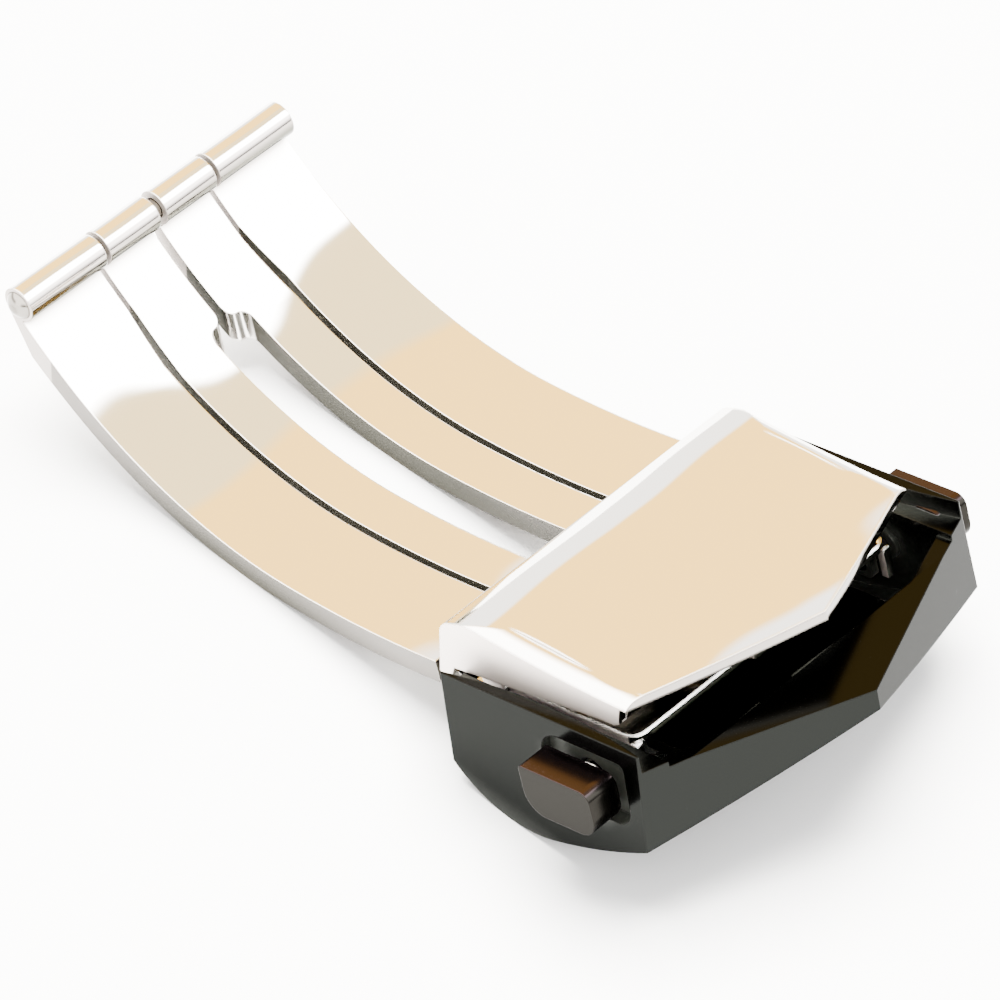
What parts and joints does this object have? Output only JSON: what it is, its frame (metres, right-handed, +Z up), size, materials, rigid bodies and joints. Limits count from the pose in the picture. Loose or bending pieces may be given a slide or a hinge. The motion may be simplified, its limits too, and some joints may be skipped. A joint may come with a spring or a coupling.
{
  "type": "folding watch buckle",
  "caption": "Folding deployment buckle for a leather or rubber strap: forked blades, clamping jaw with V-shaped cover, black case with push buttons.",
  "frame": {"origin": "under the middle of the folded clasp, on the table that it lies on", "axes": "+X along the clasp, from the main hinge to the tip of the case's V; +Y across it, to its left; +Z up, to the wrist's side"},
  "size_m": [0.05, 0.027, 0.0122],
  "materials": {
    "polished_steel": "mirror polished stainless steel",
    "black_pvd": "polished steel with a black PVD coat",
    "spring_steel": "plain spring steel"
  },
  "bodies": {
    "case": {"case_shell": "black_pvd", "case_hinge_pin": "black_pvd", "strap_bar_tube": "spring_steel", "strap_bar_spring": "spring_steel", "button_spring_left": "spring_steel", "button_spring_right": "spring_steel"},
    "fork": {"outer_fork": "polished_steel", "main_hinge_pin": "polished_steel"},
    "jaw": {"inner_blade": "polished_steel", "jaw_plate": "polished_steel", "plate_rivets": "polished_steel", "strap_grip": "polished_steel", "grip_rivets": "polished_steel", "cover_pin_left": "polished_steel", "cover_pin_right": "polished_steel"},
    "cover": {"jaw_cover": "polished_steel"},
    "button_left": {"push_button_left": "black_pvd", "button_retainer_left": "black_pvd", "latch_hook_left": "black_pvd"},
    "button_right": {"push_button_right": "black_pvd", "button_retainer_right": "black_pvd", "latch_hook_right": "black_pvd"},
    "bar_tip_left": {"strap_bar_tip_left": "spring_steel"},
    "bar_tip_right": {"strap_bar_tip_right": "spring_steel"}
  },
  "joints": [
    {"name": "case_hinge", "type": "hinge", "parent": "case", "child": "fork", "pos_m": [0.02109, 0, 0.00598], "axis": [0, 1, 0], "range_deg": [0, 90]},
    {"name": "main_hinge", "type": "hinge", "parent": "fork", "child": "jaw", "pos_m": [-0.024, 0, 0.00779], "axis": [0, -1, 0], "range_deg": [0, 175]},
    {"name": "cover_hinge", "type": "hinge", "parent": "jaw", "child": "cover", "pos_m": [0.00672, 0, 0.00555], "axis": [0, -1, 0], "range_deg": [0, 75]},
    {"name": "press_left", "type": "slide", "parent": "case", "child": "button_left", "axis": [0, -1, 0], "range_m": [0, 0.0005], "stiffness_N_per_m": 600, "springref_m": -0.0005, "deforming": ["button_spring_left"]},
    {"name": "press_right", "type": "slide", "parent": "case", "child": "button_right", "axis": [0, 1, 0], "range_m": [0, 0.0005], "stiffness_N_per_m": 600, "springref_m": -0.0005, "deforming": ["button_spring_right"]},
    {"name": "bar_tip_slide_left", "type": "slide", "parent": "case", "child": "bar_tip_left", "axis": [0, -1, 0], "range_m": [0, 0.00075], "stiffness_N_per_m": 400, "springref_m": -0.0005, "deforming": ["strap_bar_spring"]},
    {"name": "bar_tip_slide_right", "type": "slide", "parent": "case", "child": "bar_tip_right", "axis": [0, 1, 0], "range_m": [0, 0.00075], "stiffness_N_per_m": 400, "springref_m": -0.0005, "deforming": ["strap_bar_spring"]}
  ]
}
